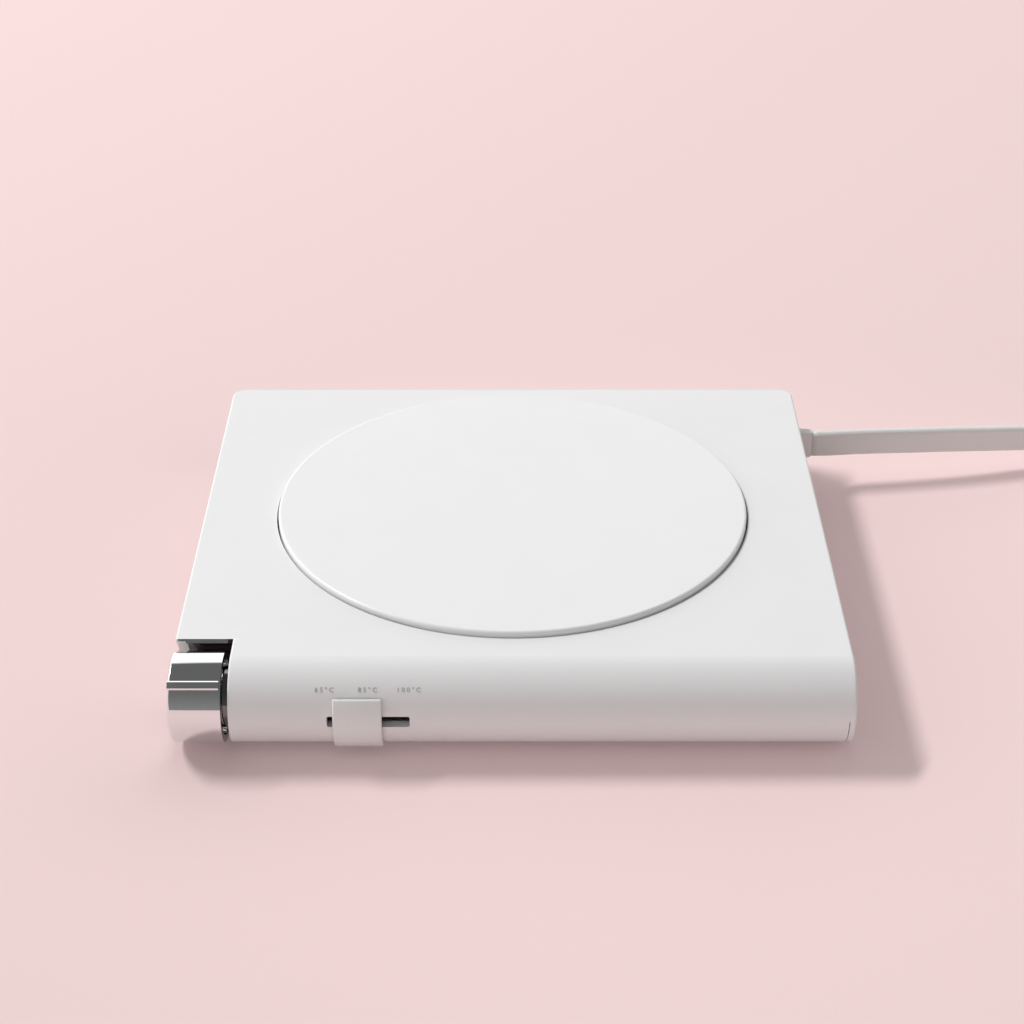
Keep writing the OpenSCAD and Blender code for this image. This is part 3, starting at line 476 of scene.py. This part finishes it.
for forward, halfX, halfZ, power in plug["stations"]:
    outline = superEllipse(plug["around"], halfX, halfZ, power)
    plugRings.append(np.stack([noseX + outline[:, 0], np.full(len(outline), noseY - forward),
                               noseZ + outline[:, 1]], axis=1))
plugRings = np.array(plugRings)
plugBody = meshPiece("plugBody", plugRings, cappedTube(plugRings), overmouldedPvc, "base")
sharpBy(plugBody, plug["crisp"])
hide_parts("plug_body")

relief = {
    "axis": (50, 10.2), "crisp": 50,
    # place along X, half of the thickness, half of the height, corner radius
    "stations": [(49, 1.2, 3.2, 0.8), (49.4, 1.7, 3.7, 1), (60.4, 1.7, 3.7, 1), (60.4, 3, 5, 0.6),
                 (63.3, 3, 5, 0.6), (63.3, 1.7, 3.7, 1), (65.22, 1.7, 3.7, 1), (65.28, 1.55, 3.28, 0.3),
                 (66.6, 1.5, 3.22, 0.3), (68, 1.42, 3.17, 0.3), (69, 1.36, 3.15, 0.3),
                 (69.35, 1.3, 3.13, 0.5), (69.5, 1.18, 3.11, 0.8)],
}
reliefRings = []
for x, halfY, halfZ, radius in relief["stations"]:
    outline = roundedOutline(halfY, halfZ, radius)
    reliefRings.append(np.stack([np.full(len(outline), x), relief["axis"][0] + outline[:, 0],
                                 relief["axis"][1] + outline[:, 1]], axis=1))
reliefRings = np.array(reliefRings)
strainRelief = meshPiece("strainRelief", reliefRings, cappedTube(reliefRings), overmouldedPvc, "base")
sharpBy(strainRelief, relief["crisp"])
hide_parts("strain_relief")

tie = {"angle": 45, "inner": 28.175, "outer": 37.75, "low": 0.85, "high": 14.75, "thick": 0.7,
       "width": 8, "edgeRadius": 0.3, "edgeSteps": 4, "overlap": 0.22, "lapLift": 0.72,
       "easeOver": 3, "corner": 1.2, "cornerSteps": 8, "step": 0.5, "crisp": 50, "uvMm": 10}


def tieRings(t):
    # the band runs once round a rounded rectangle in the plane of the radius and Z, and then
    # over its own start, lifted by a little more than its thickness
    centre = np.array([(t["inner"] + t["outer"]) / 2, (t["low"] + t["high"]) / 2])
    halfR = (t["outer"] - t["inner"] + t["thick"]) / 2
    halfZ = (t["high"] - t["low"] + t["thick"]) / 2
    loop = roundedOutline(halfR, halfZ, t["corner"], t["cornerSteps"])
    loop = np.roll(loop, -t["cornerSteps"], axis=0)
    lap = np.vstack([loop, loop[: round(len(loop) * t["overlap"])]])
    # points one step apart along the outline, so that the lift eases in
    run = runAlong(lap)
    perimeter = runAlong(np.vstack([loop, loop[:1]]))[-1]
    s = np.arange(0, run[-1], t["step"])
    line = np.stack([np.interp(s, run, lap[:, 0]), np.interp(s, run, lap[:, 1])], axis=1)
    normal = np.gradient(line, axis=0)
    normal = np.stack([normal[:, 1], -normal[:, 0]], axis=1)
    normal /= np.linalg.norm(normal, axis=1, keepdims=True)
    ease = np.clip((s - perimeter + t["easeOver"]) / t["easeOver"], 0, 1)
    line = line + normal * (t["lapLift"] * ease * ease * (3 - 2 * ease))[:, None]
    outline = roundedOutline(t["width"] / 2, t["thick"] / 2, t["edgeRadius"], t["edgeSteps"])
    place = centre + line[:, None] + normal[:, None] * outline[None, :, 1:]
    side = np.broadcast_to(outline[None, :, 0], place.shape[:2])
    a = math.radians(t["angle"])
    x = cord["coilMiddle"][0] + place[..., 0] * math.cos(a) - side * math.sin(a)
    y = cord["coilMiddle"][1] + place[..., 0] * math.sin(a) + side * math.cos(a)
    uv = np.stack(np.broadcast_arrays(s[:, None], outline[None, :, 0]), axis=2) / t["uvMm"]
    return np.stack([x, y, place[..., 1]], axis=2), uv


tieMesh, tieUv = tieRings(tie)
cordTie = meshPiece("cordTie", tieMesh, cappedTube(tieMesh), hookTape, "base",
                    uv=tieUv)
sharpBy(cordTie, tie["crisp"])
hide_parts("cord_tie")
print("plug, relief and tie")


# the power knob, turned about its own axis, with its rib

knob = {
    "axis": (-51.5, 10.2), "radius": 8.8, "around": 192, "crisp": 35,
    # outside end, roller, inside rim, hollow, collar and hub: place along X, radius, corner radius
    "profile": [(-65.48, 0.01, 0), (-65.5, 8.3, 0.1), (-65.08, 8.8, 0.14), (-55.3, 8.8, 0.02),
                (-55.3, 7.4, 0.2), (-63.9, 7.4, 0.3), (-63.9, 5.9, 0.2), (-54.3, 5.9, 0.12),
                (-54.3, 5.4, 0.12), (-62.9, 5.4, 0.2), (-62.9, 4.4, 0.2), (-56.7, 4.4, 0.2),
                (-56.7, 2.55, 0.1), (-62.3, 2.55, 0.1), (-62.3, 0.01, 0)],
    "ribAngle": 47.4, "ribWidth": 1.76, "ribRise": 1.05, "ribRoot": 0.6, "ribBevel": 0.26,
    # place along X, and how far the bar's sides and top are drawn in there
    "ribEnds": [(-65.4, 0.16), (-65.37, 0.06), (-65.26, 0), (-55.7, 0), (-55.62, 0.04),
                (-55.6, 0.1)],
    "ribDrawDepth": 0.65,
}


def turnedAboutX(profile, around, centre):
    # profile pairs are the place along X and the radius, turned once about a line along X
    turn = np.radians(np.linspace(0, 360, around, endpoint=False))
    x = np.broadcast_to(profile[:, 0, None], (len(profile), around))
    y = centre[0] - profile[:, 1, None] * np.cos(turn)
    z = centre[1] + profile[:, 1, None] * np.sin(turn)
    return np.stack([x, y, z], axis=2)


def ribRings(k):
    # a flat bar along X at ribAngle above the front, whose long edges are cut at 45 degrees (two
    # points to a corner): its outline's y is the height from the bar's middle, its x the side
    outline = roundedOutline(k["ribWidth"] / 2, (k["ribRise"] + k["ribRoot"]) / 2, k["ribBevel"], 2)
    angle = math.radians(k["ribAngle"])
    rings = []
    for x, drawnIn in k["ribEnds"]:
        rise = (k["radius"] + (k["ribRise"] - k["ribRoot"]) / 2
                + outline[:, 1] * (1 - drawnIn / k["ribDrawDepth"]))
        side = outline[:, 0] * (1 - drawnIn / (k["ribWidth"] / 2))
        rings.append(np.stack([np.full(len(rise), x),
                               k["axis"][0] - math.cos(angle) * rise + math.sin(angle) * side,
                               k["axis"][1] + math.sin(angle) * rise + math.cos(angle) * side],
                              axis=1))
    return np.array(rings)


knobTable = np.array(knob["profile"])
knobGrid = turnedAboutX(filletedProfile(knobTable[:, :2], knobTable[:, 2]), knob["around"],
                        knob["axis"])
ribGrid = ribRings(knob)
knobPoints, knobFaces = withMore(knobGrid, cappedTube(knobGrid), ribGrid, cappedTube(ribGrid))
powerKnob = meshPiece("powerKnob", knobPoints, knobFaces, brightChrome, "knob")
sharpBy(powerKnob, knob["crisp"])
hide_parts("power_knob")
print("knob")


# the temperature slider's tab, wrapped round the bullnose, with its stem through the slot

tab = {"middleX": -29.46, "noseAxis": (-51, 10.2), "inside": 9.3, "outside": 9.9,
       "halfWidth": 4.68, "sideRound": 0.4, "insideRound": 0.1, "endRound": 0.45,
       "widthShare": 0.6, "from": -58, "to": 30, "stepDegrees": 2, "endSteps": 8, "crisp": 40,
       "stemLow": (-1, -9.7, -0.8), "stemHigh": (1, -5.2, 0.8)}


def tabRings(t):
    # rows are angles above the front and each is a rounded bar: over the last endRound of length
    # the thickness falls along a quarter circle, and each side comes in by widthShare of that
    bar = filletedProfile([[t["inside"], -t["halfWidth"]], [t["outside"], -t["halfWidth"]],
                           [t["outside"], t["halfWidth"]], [t["inside"], t["halfWidth"]]],
                          [t["insideRound"], t["sideRound"], t["sideRound"], t["insideRound"]])
    turn = np.linspace(0, np.pi / 2, t["endSteps"])
    reach = t["endRound"] * (1 - np.cos(turn)) / t["outside"]
    middle = np.radians(np.arange(t["from"], t["to"] + 1, t["stepDegrees"]))[2:-2]
    angle = np.concatenate([math.radians(t["from"]) + reach, middle,
                            (math.radians(t["to"]) - reach)[::-1]])
    fall = t["endRound"] * (1 - np.sin(turn))
    fall = np.concatenate([fall, np.zeros(len(middle)), fall[::-1]])[:, None]
    thick = t["outside"] - t["inside"]
    radius = t["inside"] + (bar[:, 0] - t["inside"]) * (thick - fall) / thick
    x = t["middleX"] + bar[:, 1] * (t["halfWidth"] - t["widthShare"] * fall) / t["halfWidth"]
    y = t["noseAxis"][0] - radius * np.cos(angle)[:, None]
    z = t["noseAxis"][1] + radius * np.sin(angle)[:, None]
    return np.stack([x, y, z], axis=2)


def stemBox(t):
    # the eight corners between the stem's lowest and highest, counted x, then y, then z
    corners = np.array([[x, y, z] for x in (0, 1) for y in (0, 1) for z in (0, 1)])
    size = np.subtract(t["stemHigh"], t["stemLow"])
    faces = [[0, 1, 3, 2], [4, 6, 7, 5], [0, 4, 5, 1], [2, 3, 7, 6], [0, 2, 6, 4], [1, 5, 7, 3]]
    return corners * size + t["stemLow"] + [t["middleX"], *t["noseAxis"]], faces


tabGrid = tabRings(tab)
tabPoints, tabFaces = withMore(tabGrid, cappedTube(tabGrid), *stemBox(tab))
sliderTab = meshPiece("sliderTab", tabPoints, tabFaces, whiteAbs, "slider")
sharpBy(sliderTab, tab["crisp"])
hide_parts("slider_tab")
print("slider tab")


# the temperature marks, printed on the bullnose above the slot

marks = {"labels": [("65°C", -35.68), ("85°C", -27.46), ("100°C", -19.68)], "angle": 40.9,
         "height": 0.93, "sizePerHeight": 1.38, "spacing": 1.5, "curveSteps": 4,
         "noseAxis": (-51, 10.2), "noseRadius": 9, "lift": 0.02, "thick": 0.03,
         "mergeWithin": 1e-4}


def wrapRoundNose(points):
    # flat x stays along X, flat y becomes an arc of the same length up the bullnose,
    # and flat z becomes height above its surface
    radius = marks["noseRadius"] + marks["lift"] + points[:, 2]
    angle = math.radians(marks["angle"]) + points[:, 1] / marks["noseRadius"]
    return np.stack([points[:, 0], marks["noseAxis"][0] - radius * np.cos(angle),
                     marks["noseAxis"][1] + radius * np.sin(angle)], axis=1)


for number, (words, centreX) in enumerate(marks["labels"]):
    curve = bpy.data.curves.new("markText", "FONT")
    curve.body = words
    curve.size = marks["height"] * marks["sizePerHeight"]
    curve.space_character = marks["spacing"]
    curve.align_x, curve.align_y = "CENTER", "CENTER"
    curve.extrude = marks["thick"] / 2
    curve.resolution_u = marks["curveSteps"]
    textObject = bpy.data.objects.new("markText", curve)
    bpy.context.scene.collection.objects.link(textObject)
    bpy.context.view_layer.update()
    depsgraph = bpy.context.evaluated_depsgraph_get()
    flat = bpy.data.meshes.new_from_object(textObject.evaluated_get(depsgraph))
    bpy.data.objects.remove(textObject)
    work = bmesh.new()
    work.from_mesh(flat)
    bmesh.ops.remove_doubles(work, verts=work.verts, dist=marks["mergeWithin"])
    bmesh.ops.triangulate(work, faces=work.faces)
    points = np.array([v.co[:] for v in work.verts])
    faces = [[v.index for v in f.verts] for f in work.faces]
    work.free()
    points[:, 0] += centreX
    points[:, 2] += marks["thick"] / 2
    meshPiece(f"temperatureMark{number}", wrapRoundNose(points), faces, printInk, "base",
              smooth=False)
print("temperature marks")


# the floor

paper = {
    "size": 6.0, "near": "#F0D7D6", "far": "#F7DDDC", "roughness": 0.92, "ior": 1.2,
    # painted falloff of light: the colour grows paler this way along the floor, between these two
    # places in metres
    "paintedFalloffWay": (0.3, 1.0, 0), "paintedFalloff": (-0.15, 0.55),
    # painted light round this place, full within the first distance and none past the second
    "paintedLightMiddle": (0.045, -0.04, 0), "lift": 0.06, "paintedLightReach": (0.06, 0.18),
    # painted shade at the foot of the body's left wall, against the light that wall throws back: its
    # distance to the left, and half its length
    "wallFoot": (0.0653, 0.055), "paintedShade": 0.23, "paintedShadeReach": 0.014,
    # the share that glows as painted light, seen as it is and unlit, which softens shadows, and where
    # that grows until all is backdrop
    "paintedGlow": 0.15, "backdrop": "#F3DCDB", "haze": (0.55, 1.5),
}
half = paper["size"] / 2
floorMesh = bpy.data.meshes.new("floor")
floorMesh.from_pydata([(-half, -half, 0), (half, -half, 0), (half, half, 0), (-half, half, 0)], [],
                      [(0, 1, 2, 3)])
floor = bpy.data.objects.new("floor", floorMesh)
bpy.context.scene.collection.objects.link(floor)


def paperMaterial(p):
    # Matt seamless paper: dull, with a painted falloff of light that is a little paler far off, painted
    # light round the body, painted shade beside its lit wall, and a painted glow where the camera or a
    # bright surface sees it, so that shadows on it stay soft
    material, tree, shader = newMaterial("seamlessPaper")
    shader.inputs["Roughness"].default_value = p["roughness"]
    shader.inputs["IOR"].default_value = p["ior"]
    place = addNode(tree, "ShaderNodeTexCoord")
    away = addNode(tree, "ShaderNodeVectorMath", {"operation": "DOT_PRODUCT", 1: p["paintedFalloffWay"]},
                   i0=place.outputs["Object"])
    far = addNode(tree, "ShaderNodeMapRange", {1: p["paintedFalloff"][0], 2: p["paintedFalloff"][1], 3: 0.0, 4: 1.0},
                  i0=away.outputs["Value"])
    paintedFalloff = addNode(tree, "ShaderNodeMix",
                    {"data_type": "RGBA", 6: linear(p["near"]), 7: linear(p["far"])},
                    i0=far.outputs[0])
    # painted light where the body keeps the soft light off, and painted shade beside the wall that
    # throws the lamp's light back, by e to the power of minus the distance from its foot over the
    # painted shade's reach
    gap = addNode(tree, "ShaderNodeVectorMath", {"operation": "DISTANCE", 1: p["paintedLightMiddle"]},
                  i0=place.outputs["Object"])
    # painted light: this raises the floor's colour near the body
    lift = addNode(tree, "ShaderNodeMapRange",
                   {"interpolation_type": "SMOOTHSTEP", 1: p["paintedLightReach"][0],
                    2: p["paintedLightReach"][1], 3: 1 + p["lift"], 4: 1.0}, i0=gap.outputs["Value"])
    xyz = addNode(tree, "ShaderNodeSeparateXYZ", i0=place.outputs["Object"])
    fromWall = addNode(tree, "ShaderNodeMath", {"operation": "ADD", 1: p["wallFoot"][0]},
                       i0=xyz.outputs[0])
    side = addNode(tree, "ShaderNodeMath", {"operation": "ABSOLUTE"}, i0=xyz.outputs[1])
    pastEnd = addNode(tree, "ShaderNodeMath", {"operation": "SUBTRACT", 1: p["wallFoot"][1]},
                      i0=side.outputs[0])
    past = addNode(tree, "ShaderNodeMath", {"operation": "MAXIMUM", 1: 0.0}, i0=pastEnd.outputs[0])
    corner = addNode(tree, "ShaderNodeCombineXYZ", i0=fromWall.outputs[0], i1=past.outputs[0])
    reach = addNode(tree, "ShaderNodeVectorMath", {"operation": "LENGTH"}, i0=corner.outputs[0])
    fall = addNode(tree, "ShaderNodeMath", {"operation": "MULTIPLY", 1: -1 / p["paintedShadeReach"]},
                   i0=reach.outputs["Value"])
    fade = addNode(tree, "ShaderNodeMath", {"operation": "EXPONENT"}, i0=fall.outputs[0])
    # painted shade: the colour drops beside the body's left wall
    level = addNode(tree, "ShaderNodeMath", {"operation": "MULTIPLY_ADD", 1: -p["paintedShade"]},
                    i0=fade.outputs[0], i2=lift.outputs[0])
    colour = addNode(tree, "ShaderNodeVectorMath", {"operation": "SCALE"}, i0=paintedFalloff.outputs[2],
                     Scale=level.outputs[0])
    tree.links.new(colour.outputs[0], shader.inputs["Base Color"])
    # far off, past what the photograph's view takes in, it runs into the backdrop without a line
    haze = addNode(tree, "ShaderNodeMapRange",
                   {"interpolation_type": "SMOOTHSTEP", 1: p["haze"][0], 2: p["haze"][1], 3: 0.0,
                    4: 1.0}, i0=gap.outputs["Value"])
    seenColour = addNode(tree, "ShaderNodeMix", {"data_type": "RGBA", 7: linear(p["backdrop"])},
                         i0=haze.outputs[0], i6=colour.outputs[0])
    # painted glow: the floor's own colour shown without lighting, to the camera and in reflections
    paintedGlow = addNode(tree, "ShaderNodeEmission", {"Strength": 1.0}, Color=seenColour.outputs[2])
    paintedGlowShare = addNode(tree, "ShaderNodeMath", {"operation": "MAXIMUM", 1: p["paintedGlow"]},
                        i0=haze.outputs[0])
    ray = addNode(tree, "ShaderNodeLightPath")
    seen = addNode(tree, "ShaderNodeMath", {"operation": "MAXIMUM"},
                   i0=ray.outputs["Is Camera Ray"], i1=ray.outputs["Is Glossy Ray"])
    share = addNode(tree, "ShaderNodeMath", {"operation": "MULTIPLY"}, i0=seen.outputs[0],
                    i1=paintedGlowShare.outputs[0])
    both = addNode(tree, "ShaderNodeMixShader", i0=share.outputs[0], i1=shader.outputs[0],
                   i2=paintedGlow.outputs[0])
    tree.links.new(both.outputs[0], tree.nodes["Material Output"].inputs["Surface"])
    return material


floorMesh.materials.append(paperMaterial(paper))
print("floor")


# the lamp and what surrounds the object

lamp = {"toward": (-0.5535, 0.2919, 0.78), "distance": 2.6, "size": (1.0, 0.22), "power": 41.0}
keyData = bpy.data.lights.new("keyLamp", "AREA")
keyData.shape = "ELLIPSE"
keyData.size, keyData.size_y = lamp["size"]
keyData.energy = lamp["power"]
key = bpy.data.objects.new("keyLamp", keyData)
key.location = [c * lamp["distance"] for c in lamp["toward"]]
key.rotation_euler = (-key.location).to_track_quat("-Z", "Y").to_euler()
bpy.context.scene.collection.objects.link(key)

studio = {
    # for bright surfaces: the wall's level, the heights between which it ends, and how far in
    # front and behind it fades in, as parts of a direction of length one
    "wall": 1.5, "wallTop": (0.72, 0.81), "wallSide": (-0.15, 0.15),
    # the rest of what they see, from the level of the eye to this height
    "horizon": 0.24, "overhead": 0.13, "overheadFrom": 0.8,
    # for matt surfaces: a level and its slope along right, back and up
    "softLevel": 1.0, "softSlope": (-0.32, 0.22, -0.77),
}
world = bpy.data.worlds.new("studio")
bpy.context.scene.world = world
world.use_nodes = True
tree = world.node_tree
tree.nodes.clear()
direction = addNode(tree, "ShaderNodeTexCoord")
parts = addNode(tree, "ShaderNodeSeparateXYZ", i0=direction.outputs["Generated"])
# bright surfaces see a white wall behind, up to about 50 degrees above the floor, darkness overhead
# and a grey front, so that chrome shows a white band over two grey ones
upward = addNode(tree, "ShaderNodeMapRange",
                 {1: studio["wallTop"][0], 2: studio["wallTop"][1], 3: 1.0, 4: 0.0},
                 i0=parts.outputs[2])
backward = addNode(tree, "ShaderNodeMapRange",
                   {1: studio["wallSide"][0], 2: studio["wallSide"][1], 3: 0.0, 4: 1.0},
                   i0=parts.outputs[1])
wall = addNode(tree, "ShaderNodeMath", {"operation": "MULTIPLY"}, i0=upward.outputs[0],
               i1=backward.outputs[0])
front = addNode(tree, "ShaderNodeMapRange",
                {1: 0.0, 2: studio["overheadFrom"], 3: studio["horizon"], 4: studio["overhead"]},
                i0=parts.outputs[2])
bands = addNode(tree, "ShaderNodeMix", {3: studio["wall"]}, i0=wall.outputs[0],
                i2=front.outputs[0])
# matt surfaces get a soft light that changes evenly across the sky
slope = addNode(tree, "ShaderNodeVectorMath", {"operation": "DOT_PRODUCT", 1: studio["softSlope"]},
                i0=direction.outputs["Generated"])
level = addNode(tree, "ShaderNodeMath", {"operation": "ADD", 1: studio["softLevel"]},
                i0=slope.outputs["Value"])
soft = addNode(tree, "ShaderNodeMath", {"operation": "MAXIMUM", 1: 0.0}, i0=level.outputs[0])
ray = addNode(tree, "ShaderNodeLightPath")
strength = addNode(tree, "ShaderNodeMix", i0=ray.outputs["Is Glossy Ray"], i2=soft.outputs[0],
                   i3=bands.outputs[0])
light = addNode(tree, "ShaderNodeBackground", {"Color": (1, 1, 1, 1)}, Strength=strength.outputs[0])
backdrop = addNode(tree, "ShaderNodeBackground",
                   {"Color": linear(paper["backdrop"]), "Strength": 1.0})
chosen = addNode(tree, "ShaderNodeMixShader", i0=ray.outputs["Is Camera Ray"],
                 i1=light.outputs[0], i2=backdrop.outputs[0])
addNode(tree, "ShaderNodeOutputWorld", Surface=chosen.outputs[0])

bpy.context.scene.view_settings.view_transform = "Standard"
print("stage ready")
